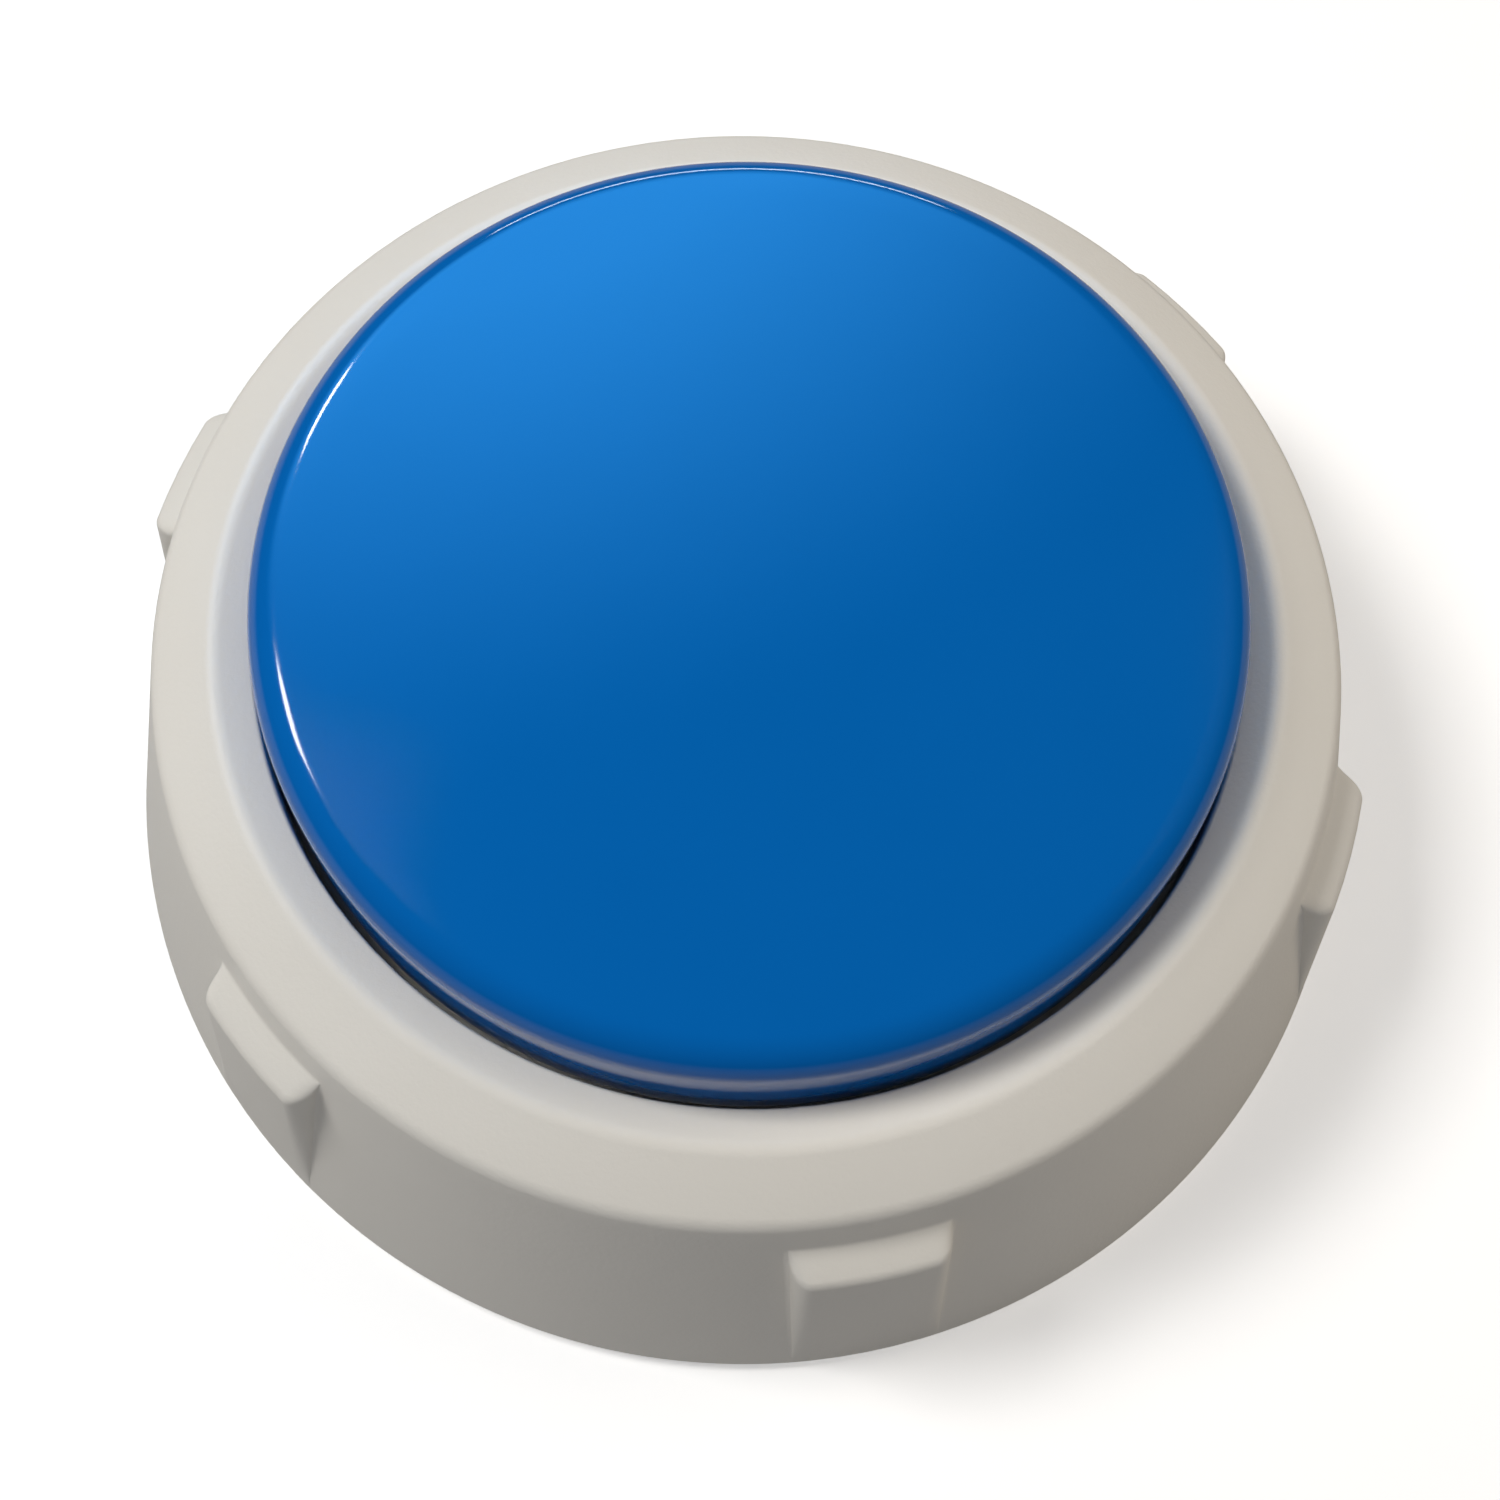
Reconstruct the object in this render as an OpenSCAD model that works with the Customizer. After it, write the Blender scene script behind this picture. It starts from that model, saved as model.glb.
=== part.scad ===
// Quiz buzzer: a round, battery-powered answer button that stands on a table.
// A domed cap presses a switch on a board hung under the housing's deck, and a
// speaker in the base sounds the buzz. Millimetres, +Z up, with the origin on
// the table under the middle of the button.

/* [Cap] */
// Outer diameter of the cap
cap_d = 63; // [58:0.2:76]
// Height of the cap's shoulder above the edge of the opening
cap_rise = 6.9; // [5:0.1:9]
// Rise of the domed top from its shoulder to its middle
dome_rise = 1.6; // [0.8:0.1:3]
// Radius of the cap's rounded edge
cap_edge_r = 2.6; // [0.8:0.1:3]
// Wall thickness of the cap
cap_t = 1.8; // [1.4:0.1:2.4]
// Full travel of the cap when it is pressed
cap_travel = 3; // [2:0.1:4]
// Gap between the cap and the edge of the opening
cap_gap = 0.5; // [0.3:0.05:0.8]

/* [Housing] */
// Height of the flared wall, from its bottom edge to the crease at its top
wall_h = 23.2; // [22.6:0.2:32]
// How far the wall flares out below the crease
flare_w = 6.1; // [4:0.1:10]
// Width of the sloping ring between the crease and the crest
ring_w = 4.4; // [3:0.1:7]
// Rise of that ring
ring_rise = 2.6; // [1:0.1:4]
// Width of the chamfer that leads down from the crest to the opening
lead_w = 2.5; // [1.5:0.1:4]
// Drop of that chamfer
lead_drop = 0.8; // [0.4:0.1:1.5]
// Radius of the soft edge at the crease
crease_r = 1.8; // [0.6:0.1:2.4]
// Wall thickness of the housing and of the base plate
shell_t = 2; // [1.6:0.1:2.6]

/* [Grip lugs] */
// Number of lugs around the wall
lug_n = 6; // [3:1:8]
// Width of a lug
lug_w = 10.2; // [6:0.2:14]
// How far a lug's top edge stands out from the wall
lug_out = 2.1; // [1:0.1:3]
// Depth of a lug's top outer edge below the crease
lug_drop = 4; // [3:0.1:8]
// Slope of a lug's top face, in degrees
lug_slope = 30; // [0:5:35]
// Radius of a lug's rounded edges
lug_r = 1.2; // [0.5:0.1:1.8]

/* [Base] */
// Diameter of a rubber foot
foot_d = 8; // [6:0.5:10]
// Height of the feet below the housing
foot_h = 1; // [0.6:0.1:2]
// Outer diameter of a screw post
post_d = 6; // [5:0.2:7]
// Running gap between pieces that drop into each other
fit_gap = 0.3; // [0.2:0.05:0.5]

/* [Electronics] */
// Diameter of the speaker
speaker_d = 32; // [28:1:40]
// Depth of the speaker, front to back
speaker_h = 8.7; // [7:0.1:11]
// Diameter of the circuit board
board_d = 38; // [34:1:42]
// Thickness of the circuit board
board_t = 1.6; // [1.2:0.1:2]
// Mean diameter of the return spring
spring_d = 11.8; // [11.4:0.1:12.4]
// Wire diameter of the return spring
spring_wire = 0.8; // [0.6:0.05:1]
// Turns in the return spring
spring_turns = 6; // [4:1:7]

/* [Hidden] */

// Smoothness: big round faces, small round faces, points in a rounded corner
fine = 180;
mid = 64;
arc_n = 6;
// Overlap that fuses one shape into the next
fuse = 0.2;

// Radii, worked outwards from the cap
cap_r = cap_d / 2;
open_r = cap_r + cap_gap;
crest_r = open_r + lead_w;
top_r = crest_r + ring_w;
base_r = top_r + flare_w;

// Base plate and battery door
plate_z = foot_h;
plate_t = shell_t;
plate_top = plate_z + plate_t;
plate_r = base_r - shell_t - fit_gap;
door_t = 1.6;
door_top = plate_z + door_t;
foot_in = 0.6;
foot_ring_r = plate_r - foot_d / 2 - 2.6;
foot_angles = [60, 180, 300];

// Two AAA cells, a standard size, lying side by side along X
cell_d = 10.5;
cell_len = 44.5;
cell_nub_d = 3.8;
cell_nub_len = 1;
cell_pitch = 11;
cell_gap = 0.15;
cell_z = door_top + cell_gap + cell_d / 2;
cells_y = -13.1;
cell_y = [cells_y + cell_pitch / 2, cells_y - cell_pitch / 2];
contact_t = 0.4;
contact_spring_len = 3.8;
contact_w = 8;
contact_h = 8.4;

// Battery well, moulded on the base plate
well_t = 1.2;
well_len = cell_len + contact_spring_len + 2 * contact_t;
well_w = cell_pitch + cell_d + 0.8;
well_roof = cell_z + cell_d / 2 + 0.25;
well_top = well_roof + well_t;
well_end = well_len / 2;
cell_stop = well_end - contact_t;

// Door outline: it overlaps the well's walls, with an ear for a screw at each end
door_len = well_len + 2 * well_t;
door_w = well_w + 2 * well_t;
ear_x = door_len / 2 + 3.4;
ear_r = 3.6;
door_screw_d = 2.2;
door_screw_len = 6;
door_boss_top = plate_z + 8.4;
screw_gap = 0.08;

// Board, hung under the deck, above the battery well
under_board = 1.8;
board_z = well_top + under_board;
board_top = board_z + board_t;
board_post_h = 0.6;
deck_z = board_top + board_post_h;
deck_t = 1.6;
deck_top = deck_z + deck_t;
board_screw_r = board_d / 2 - 3;
board_screw_d = 1.7;
board_screw_angles = [90, 210, 330];

// Tact switch
switch_w = 6;
switch_leg_x = 3.25;
switch_leg_y = 2.25;
switch_h = 3.5;
switch_top = board_top + switch_h;
plunger_d = 3.4;
plunger_up = 0.8;
switch_travel = 0.25;
plunger_top = switch_top + plunger_up;
switch_hole_r = 4.9;

// Heights of the housing's top, and of the cap above it
wall_z = plate_z;
crease_z = wall_z + wall_h;
crest_z = crease_z + ring_rise;
open_z = crest_z - lead_drop;
shoulder_z = open_z + cap_rise;
cap_top = shoulder_z + dome_rise;
skirt_z = deck_top + cap_travel + 0.4;
cap_in_r = cap_r - cap_t;
post_z = plunger_top + cap_travel - switch_travel + 0.05;
post_r = 2.4;
collar_r = open_r + 1.6;
lug_foot_z = wall_z + 0.6;

// Screw posts of the housing
screw_ring_r = collar_r + post_d / 2 - 0.4;
post_angles = [30, 150, 270];
boss_h = 2.5;
boss_top = plate_top + boss_h;
screw_d = 2.6;
screw_head_d = 4.6;
screw_head_h = 1.6;
head_seat_z = plate_z + 3;
screw_len = 9;
post_h = deck_z + 0.8 - boss_top;

// Snap legs of the cap
leg_r = open_r - 4.6;
leg_t = 1.6;
leg_w = 6;
leg_flex = 1.8;
hook_out = 1.6;
hook_h = 1.8;
hook_gap = 0.15;
hook_z = deck_z - hook_gap;
leg_angles = [30, 150, 270];

// Speaker, face down over the grille
speaker_r = speaker_d / 2;
speaker_y = cells_y + well_w / 2 + well_t + 1 + fit_gap + 1.2 + speaker_r;
gasket_t = 0.8;
speaker_z = plate_top + gasket_t;
speaker_lip = 2.2;
flange_t = 1.2;
cone_t = 0.2;
magnet_r = 9;
magnet_h = 3.8;
pocket_t = 1.2;
finger_w = 4;
finger_reach = 0.7;
finger_top = speaker_z + flange_t + 1.4;
finger_angles = [0, 90, 180];
grille_d = 2;
grille_pitch = 3.6;
grille_r = speaker_r - 4.5;

// Leads: radius, height of a run on the well's roof, height of a run under the board
lead_r = 0.55;
lead_z = well_top + lead_r + 0.05;
under_z = board_z - lead_r - 0.08;

// Return spring and the rings that centre it
spring_r = spring_d / 2;
spring_seat_r = spring_r + spring_wire / 2 + 0.3;

// ---------- helpers ----------

// Points of a rounded corner about [cx, cy], from angle a0 to angle a1
function corner(cx, cy, r, a0, a1, n = arc_n) =
    [for (i = [0:n]) let (a = a0 + (a1 - a0) * i / n) [cx + r * cos(a), cy + r * sin(a)]];

// Places copies at the same radius, one for each angle in a list
module around(r, angles) {
    for (a = angles) rotate([0, 0, a]) translate([r, 0, 0]) children();
}

// A flat ring about the Z axis
module ring(r_in, r_out, z0, z1) {
    rotate_extrude($fn = fine)
        polygon([[r_in, z0], [r_out, z0], [r_out, z1], [r_in, z1]]);
}

module box_at(x0, x1, y0, y1, z0, z1) {
    translate([x0, y0, z0]) cube([x1 - x0, y1 - y0, z1 - z0]);
}

// A rod with its lower end at z0
module rod(d, z0, z1, fn = mid) {
    translate([0, 0, z0]) cylinder(d = d, h = z1 - z0, $fn = fn);
}

// A round tube of radius r swept along a list of points that never runs along side_of
function unit(v) = v / norm(v);
function sweep_dir(p, i) = unit(p[min(i + 1, len(p) - 1)] - p[max(i - 1, 0)]);
module swept(p, r, sides = 8, side_of = [0, 0, 1]) {
    n = len(p);
    rings = [for (i = [0:n - 1]) let (d = sweep_dir(p, i), s = unit(cross(d, side_of)), u = cross(d, s))
        for (k = [0:sides - 1]) p[i] + r * (cos(360 * k / sides) * s + sin(360 * k / sides) * u)];
    walls = [for (i = [0:n - 2], k = [0:sides - 1])
        let (a = i * sides + k, b = i * sides + (k + 1) % sides) [a, a + sides, b + sides, b]];
    polyhedron(rings, concat([[for (k = [0:sides - 1]) k]], walls,
        [[for (k = [sides - 1:-1:0]) (n - 1) * sides + k]]), convexity = 10);
}

// A smooth route through hand-set points, each stretch split into equal steps
function smooth(p, steps = 6) = concat([for (i = [0:len(p) - 2], s = [0:steps - 1])
    let (a = p[max(i - 1, 0)], b = p[i], c = p[i + 1], e = p[min(i + 2, len(p) - 1)], t = s / steps)
    0.5 * (2 * b + (c - a) * t + (2 * a - 5 * b + 4 * c - e) * t * t
        + (3 * b - a - 3 * c + e) * t * t * t)], [p[len(p) - 1]]);

// A coil up Z: closed end turns, open turns between them, radius r0 below and r1 above
function coil(r0, r1, wire, z0, z1, turns, per_turn = 20) =
    [for (i = [0:turns * per_turn])
        let (t = i / per_turn, low = z0 + wire / 2, high = z1 - wire / 2,
            rise = high - low - 2 * wire,
            z = t < 1 ? low + wire * t
                : t > turns - 1 ? high - wire * (turns - t)
                : low + wire + rise * (t - 1) / (turns - 2),
            r = r0 + (r1 - r0) * t / turns)
        [r * cos(360 * t), r * sin(360 * t), z]];

// A pan-head self-tapping screw that points up, its head's top face at z
module pan_screw(d, head_d, head_h, len, z) {
    difference() {
        union() {
            rod(head_d, z - head_h, z);
            rod(d, z, z + len - d / 2);
            translate([0, 0, z + len - d / 2])
                cylinder(d1 = d, d2 = d / 4, h = d / 2, $fn = mid);
        }
        for (a = [0, 90]) rotate([0, 0, a])
            box_at(-head_d / 3, head_d / 3, -0.35, 0.35, z - head_h - 1, z - head_h / 3);
    }
}

// ---------- housing ----------

// Radius of the flared wall's outer face at height z
function wall_r(z) = base_r - flare_w * (z - wall_z) / wall_h;

// Outer outline of the housing, pulled inwards by an inset, from the rim to the crest
function wall_outline(inset) = concat(
    [[base_r - inset, wall_z]],
    corner(top_r - crease_r * 0.86, crease_z - crease_r * 0.72, max(crease_r - inset, 0.1),
        atan(flare_w / wall_h), 90 - atan(ring_rise / ring_w)),
    [[crest_r + 0.6, crest_z - inset - 0.2], [crest_r, crest_z - inset]]);

// One grip lug on the +X side: its top face slopes down and outwards from inside the wall
module lug() {
    top = crease_z - lug_drop;
    out = wall_r(top) + lug_out;
    root = wall_r(top) - shell_t / 2;
    top_turn = 90 - lug_slope;
    shoulder = [out - lug_r + lug_r * cos(top_turn), top - lug_r + lug_r * sin(top_turn)];
    half = lug_w / 2;
    intersection() {
        // Plan: parallel sides with rounded outer corners
        translate([0, 0, wall_z]) linear_extrude(wall_h) union() {
            translate([top_r - 4, -half]) square([base_r - top_r + 4 - 2 * lug_r - 0.4, lug_w]);
            translate([top_r - 4, -half + lug_r]) square([base_r - top_r + 6, lug_w - 2 * lug_r]);
            for (s = [-1, 1]) translate([base_r - 2 * lug_r - 0.4, s * (half - lug_r)])
                circle(r = lug_r, $fn = mid);
        }
        // Side view: a steep outer face that runs out into the foot of the wall
        rotate_extrude($fn = fine) polygon(concat(
            [[base_r - shell_t / 2, lug_foot_z], [base_r - 0.25, lug_foot_z]],
            corner(out - lug_r, top - lug_r, lug_r, 8, top_turn),
            [[root, shoulder[1] + (shoulder[0] - root) * tan(lug_slope)], [root, top - lug_r]]));
    }
}

module upper_housing() {
    color([0.87, 0.86, 0.82]) difference() {
        union() {
            // Flared wall, top ring, chamfered lead-in and the collar round the cap
            rotate_extrude($fn = fine) polygon(concat(
                wall_outline(0),
                [[open_r, open_z], [open_r, deck_z], [collar_r, deck_z],
                    [collar_r, open_z - shell_t], [crest_r, crest_z - shell_t - 0.6],
                    [wall_r(crease_z - shell_t - 0.4) - shell_t, crease_z - shell_t - 0.4],
                    [wall_r(plate_top) - shell_t, plate_top + 0.05],
                    [base_r - shell_t, plate_top + 0.05], [base_r - shell_t, wall_z]]));
            // Deck
            rod(2 * open_r + fuse, deck_z, deck_top, fine);
            ring(spring_seat_r, spring_seat_r + 1, deck_top - fuse, deck_top + 1.2);
            for (i = [0:lug_n - 1]) rotate([0, 0, -90 + 360 * i / lug_n]) lug();
            // Screw posts for the base plate and standoffs for the board
            around(screw_ring_r, post_angles) rod(post_d, boss_top, boss_top + post_h);
            around(board_screw_r, board_screw_angles) rod(4.4, board_top, deck_z + fuse);
            // Ribs between the collar and the wall
            intersection() {
                around(collar_r - fuse, [for (i = [0:5]) 60 * i])
                    box_at(0, base_r, -0.6, 0.6, deck_z, crest_z);
                rotate_extrude($fn = fine)
                    polygon(concat(wall_outline(0.8), [[0, crest_z - 0.8], [0, wall_z]]));
            }
        }
        rod(2 * switch_hole_r, deck_z - 1, deck_top + 2);
        around(screw_ring_r, post_angles) rod(screw_d - 0.4, boss_top - 1, boss_top + 8);
        around(board_screw_r, board_screw_angles) rod(board_screw_d, board_top - 1, deck_top - 0.5);
        // Slots that let the cap's snap legs through
        around(leg_r, leg_angles)
            box_at(-leg_flex, leg_t + fit_gap, -leg_w / 2 - fit_gap, leg_w / 2 + fit_gap,
                deck_z - 1, deck_top + 1);
    }
}

// ---------- base ----------

// Plan of the battery door, grown by a margin
module door_plan(grow) {
    translate([0, cells_y]) union() {
        square([door_len + 2 * grow, door_w + 2 * grow], center = true);
        for (s = [-1, 1]) {
            translate([s * ear_x, 0]) circle(r = ear_r + grow, $fn = mid);
            translate([s * ear_x / 2, 0]) square([ear_x, 2 * (ear_r + grow)], center = true);
        }
    }
}

module grille_holes() {
    rows = floor(grille_r / grille_pitch);
    translate([0, speaker_y, 0]) {
        rod(grille_d, plate_z - 1, plate_top + 1);
        for (k = [1:rows], i = [0:6 * k - 1]) rotate([0, 0, 60 * i / k])
            translate([k * grille_pitch, 0, 0]) rod(grille_d, plate_z - 1, plate_top + 1);
    }
}

// Wall that centres the speaker
module speaker_wall() {
    difference() {
        rod(2 * (speaker_r + fit_gap + pocket_t), plate_top - fuse, speaker_z + flange_t, fine);
        rod(2 * (speaker_r + fit_gap), plate_top - 1, speaker_z + flange_t + 1, fine);
    }
}

// Finger that holds the speaker's flange down; its origin is on the flange's edge
module speaker_finger() {
    box_at(fit_gap, fit_gap + pocket_t, -finger_w / 2, finger_w / 2, plate_top - fuse, finger_top);
    box_at(-finger_reach, fit_gap + pocket_t, -finger_w / 2, finger_w / 2,
        speaker_z + flange_t + 0.02, finger_top);
}

// The room inside the housing's flared wall, less the running gap, up to a height
module housing_inside(top) {
    rotate_extrude($fn = fine) polygon([[0, plate_z], [wall_r(plate_z) - shell_t - fit_gap, plate_z],
        [wall_r(top) - shell_t - fit_gap, top], [0, top]]);
}

module base_plate() {
    color([0.84, 0.83, 0.79]) difference() {
        union() {
            // Disc with a rounded lower edge
            rotate_extrude($fn = fine) polygon(concat([[0, plate_z]],
                corner(plate_r - 0.5, plate_z + 0.5, 0.5, -90, 0), [[plate_r, plate_top], [0, plate_top]]));
            // Battery well: walls and roof
            translate([0, cells_y, 0])
                box_at(-door_len / 2, door_len / 2, -door_w / 2, door_w / 2, plate_top - fuse, well_top);
            for (s = [-1, 1]) translate([s * ear_x, cells_y, 0])
                rod(2 * ear_r - 1, plate_top - fuse, door_boss_top);
            around(screw_ring_r, post_angles) rod(post_d + 1, plate_top - fuse, boss_top);
            // Pocket wall and fingers for the speaker, cut back to clear the housing's wall
            intersection() {
                translate([0, speaker_y, 0]) union() {
                    speaker_wall();
                    around(speaker_r, finger_angles) speaker_finger();
                }
                housing_inside(finger_top + fuse);
            }
        }
        // Inside of the well, open below, and the pocket that takes the door
        translate([0, cells_y, 0])
            box_at(-well_end, well_end, -well_w / 2, well_w / 2, plate_z - 1, well_roof);
        translate([0, 0, plate_z - 1]) linear_extrude(1 + door_t + 0.1) door_plan(fit_gap);
        for (s = [-1, 1]) translate([s * ear_x, cells_y, 0])
            rod(door_screw_d + 2 * screw_gap, plate_z, door_boss_top - 0.8);
        // Slots that let the contact tabs out through the roof
        for (y = cell_y)
            box_at(cell_stop - 0.1, well_end, y - 1.7, y + 1.7, well_roof - 1, well_top + 1);
        grille_holes();
        around(screw_ring_r, post_angles) {
            rod(screw_d + 0.4, plate_z - 1, boss_top + 1);
            rod(screw_head_d + 0.6, plate_z - 1, head_seat_z);
        }
        around(foot_ring_r, foot_angles) rod(foot_d + 0.2, plate_z - 1, plate_z + foot_in);
    }
}

module housing_screws() {
    color([0.62, 0.62, 0.6]) around(screw_ring_r, post_angles)
        pan_screw(screw_d - 0.4, screw_head_d, screw_head_h, screw_len, head_seat_z);
}

module rubber_feet() {
    color([0.16, 0.16, 0.16]) around(foot_ring_r, foot_angles) rotate_extrude($fn = mid)
        polygon(concat([[0, 0]], corner(foot_d / 2 - 0.5, 0.5, 0.5, -90, 0),
            [[foot_d / 2, plate_z + foot_in], [0, plate_z + foot_in]]));
}

module battery_door() {
    color([0.84, 0.83, 0.79]) difference() {
        translate([0, 0, plate_z]) linear_extrude(door_t) door_plan(0);
        for (s = [-1, 1]) translate([s * ear_x, cells_y, 0]) {
            rod(door_screw_d + 0.2, plate_z - 1, door_top + 1);
            rod(4.4, plate_z - 1, plate_z + 0.9);
        }
        // Finger grooves
        for (i = [-2:2]) translate([3 * i, cells_y, 0])
            box_at(-0.5, 0.5, -4, 4, plate_z - 1, plate_z + 0.4);
    }
}

module door_screws() {
    color([0.62, 0.62, 0.6]) for (s = [-1, 1]) translate([s * ear_x, cells_y, 0])
        pan_screw(door_screw_d, 4, 0.8, door_screw_len, plate_z + 0.9);
}

// ---------- cells and contacts ----------

// A cell lying along X, its nub's tip at the origin and pointing along +X
module cell() {
    rotate([0, 90, 0]) rotate_extrude($fn = mid) polygon(concat(
        [[0, -cell_len]],
        corner(cell_d / 2 - 0.5, -cell_len + 0.5, 0.5, -90, 0, 3),
        corner(cell_d / 2 - 0.5, -cell_nub_len - 0.5, 0.5, 0, 90, 3),
        [[cell_nub_d / 2, -cell_nub_len], [cell_nub_d / 2, 0], [0, 0]]));
}

module battery_rear() {
    color([0.2, 0.22, 0.25]) translate([cell_stop, cell_y[0], cell_z]) cell();
}

module battery_front() {
    color([0.2, 0.22, 0.25]) translate([-cell_stop, cell_y[1], cell_z]) rotate([0, 0, 180]) cell();
}

// A contact plate on the well's end wall at +X, with an optional tab through the roof
module contact_plate(y, tab) {
    box_at(cell_stop, well_end, y - contact_w / 2, y + contact_w / 2,
        cell_z - contact_h / 2, cell_z + contact_h / 2);
    if (tab) box_at(cell_stop, well_end, y - 1.5, y + 1.5, cell_z, well_top + 1.2);
}

// The conical spring that presses on a cell's flat end, seen from +X
module contact_spring(y) {
    translate([cell_stop + 0.1, y, cell_z]) rotate([0, -90, 0])
        swept(coil(3.3, 1.6, 0.6, 0, contact_spring_len + 0.08, 4, 14), 0.3, 6);
}

module bridge_contact() {
    color([0.75, 0.75, 0.72]) rotate([0, 0, 180]) union() {
        for (y = cell_y) contact_plate(-y, false);
        box_at(cell_stop, well_end, -cell_y[0], -cell_y[1], cell_z - 2, cell_z + 2);
        contact_spring(-cell_y[0]);
    }
}

module positive_contact() {
    color([0.75, 0.75, 0.72]) contact_plate(cell_y[0], true);
}

module negative_contact() {
    color([0.75, 0.75, 0.72]) union() {
        contact_plate(cell_y[1], true);
        contact_spring(cell_y[1]);
    }
}

// ---------- board ----------

module circuit_board() {
    color([0.1, 0.42, 0.24]) difference() {
        rod(board_d, board_z, board_top, fine);
        around(board_screw_r, board_screw_angles) rod(board_screw_d + 0.5, board_z - 1, board_top + 1);
        for (x = [-1, 1], y = [-1, 1]) translate([x * switch_leg_x, y * switch_leg_y, 0])
            rod(1, board_z - 1, board_top + 1, 24);
    }
}

module board_screws() {
    color([0.62, 0.62, 0.6]) around(board_screw_r, board_screw_angles)
        pan_screw(board_screw_d, 3.6, 1, deck_top - 0.7 - board_z, board_z);
}

module switch_body() {
    color([0.1, 0.1, 0.1]) difference() {
        union() {
            box_at(-switch_w / 2, switch_w / 2, -switch_w / 2, switch_w / 2, board_top, switch_top - 0.3);
            // Legs, through the board
            for (x = [-1, 1], y = [-1, 1]) translate([x * switch_leg_x, y * switch_leg_y, 0]) {
                rod(0.8, board_z - 0.7, board_top + 1, 24);
                box_at(x > 0 ? -0.4 : -0.05, x > 0 ? 0.05 : 0.4, -0.35, 0.35, board_top + 0.2, board_top + 1);
            }
        }
        rod(plunger_d + 0.2, switch_top - 1.4, switch_top + 1);
    }
}

module switch_cover() {
    color([0.78, 0.78, 0.76]) difference() {
        box_at(-switch_w / 2, switch_w / 2, -switch_w / 2, switch_w / 2, switch_top - 0.3, switch_top);
        rod(plunger_d + 0.2, switch_top - 1, switch_top + 1);
    }
}

module switch_plunger() {
    color([0.12, 0.12, 0.12]) rod(plunger_d, switch_top - 1.4 + switch_travel + 0.1, plunger_top);
}

// A blob of resin over the bonded sound chip, under the board
module sound_chip() {
    color([0.05, 0.05, 0.05]) translate([0, 8, 0]) rotate_extrude($fn = mid)
        polygon(concat([[0, board_z]], [for (a = [0:15:90]) [4.5 * cos(a), board_z - 1.5 * sin(a)]]));
}

module capacitor() {
    color([0.14, 0.16, 0.3]) translate([-12.5, 3.2, 0]) rotate_extrude($fn = mid)
        polygon(concat([[0, board_z - 7]], corner(2.2, board_z - 6.7, 0.3, -90, 0, 3),
            [[2.5, board_z], [0, board_z]]));
}

module resistors() {
    color([0.2, 0.2, 0.2]) for (i = [0:2])
        translate([9, 3.5 + 3 * i, 0]) box_at(-1.6, 1.6, -0.8, 0.8, board_z - 0.6, board_z);
}

// ---------- speaker ----------

module speaker_frame() {
    front = speaker_z + cone_t;
    back = speaker_z + speaker_h - magnet_h;
    lip_r = speaker_r - speaker_lip;
    color([0.5, 0.5, 0.5]) translate([0, speaker_y, 0]) rotate_extrude($fn = fine)
        polygon([[lip_r, front], [speaker_r, front], [speaker_r, speaker_z + flange_t],
            [lip_r, speaker_z + flange_t], [magnet_r + 1.5, back], [0, back], [0, back - 0.8],
            [magnet_r + 1, back - 0.8], [lip_r - 0.8, speaker_z + flange_t - 0.4]]);
}

// Paper cone: a rim glued under the flange, a rolled surround, the cone and its dust cap
module speaker_cone() {
    roll_r = 0.8;
    roll_x = speaker_r - speaker_lip - 0.6 - roll_r;
    front = [[speaker_r - 0.3, speaker_z], [roll_x + roll_r, speaker_z]];
    roll = [for (a = [30:30:180]) [roll_x + roll_r * cos(a), speaker_z + 0.6 * roll_r * sin(a)]];
    dish = [[5.4, speaker_z + 2.4], [4, speaker_z + 1.8], [0, speaker_z + 1.5]];
    path = concat(front, roll, dish);
    color([0.1, 0.1, 0.1]) translate([0, speaker_y, 0]) rotate_extrude($fn = fine)
        polygon(concat(path, [for (i = [len(path) - 1:-1:0]) path[i] + [0, cone_t]]));
}

module speaker_magnet() {
    color([0.3, 0.3, 0.32]) translate([0, speaker_y, 0])
        rod(2 * magnet_r, speaker_z + speaker_h - magnet_h, speaker_z + speaker_h, fine);
}

module speaker_gasket() {
    color([0.12, 0.12, 0.12]) translate([0, speaker_y, 0])
        ring(speaker_r - speaker_lip, speaker_r, plate_top, speaker_z);
}

// ---------- leads ----------

module positive_lead() {
    color([0.75, 0.1, 0.08]) swept(smooth([
        [cell_stop - 0.15, cell_y[0], lead_z], [cell_stop - 2, cell_y[0], lead_z],
        [18, -2, lead_z], [15, 0, lead_z + 0.4], [13, 1, under_z], [11.6, 1, under_z]]), lead_r);
}

module negative_lead() {
    color([0.08, 0.08, 0.08]) swept(smooth([
        [cell_stop - 0.15, cell_y[1], lead_z], [cell_stop - 2, cell_y[1], lead_z],
        [16, -13, lead_z], [9, -11, lead_z + 0.1], [7, -8, under_z], [7, -6, under_z]]), lead_r);
}

module speaker_leads() {
    color([0.7, 0.65, 0.6]) for (s = [-1.3, 1.3]) swept(smooth([
        [-magnet_r - 0.9, speaker_y + s, speaker_z + speaker_h - magnet_h + lead_r + 0.02],
        [-magnet_r - 2.6, speaker_y + s - 2, 12], [-magnet_r - 1.2, 11 + s, 15],
        [-8, 10 + s, under_z], [-6.4, 10 + s, under_z]]), lead_r, 8, [0, 1, 0]);
}

// ---------- cap and spring ----------

// Height of the domed top, or of its underside, at radius r
dome_flat_r = cap_r - cap_edge_r;
dome_ball = (dome_flat_r * dome_flat_r + dome_rise * dome_rise) / (2 * dome_rise);
function dome_z(r) = cap_top - dome_ball + sqrt(dome_ball * dome_ball - r * r);

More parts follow.
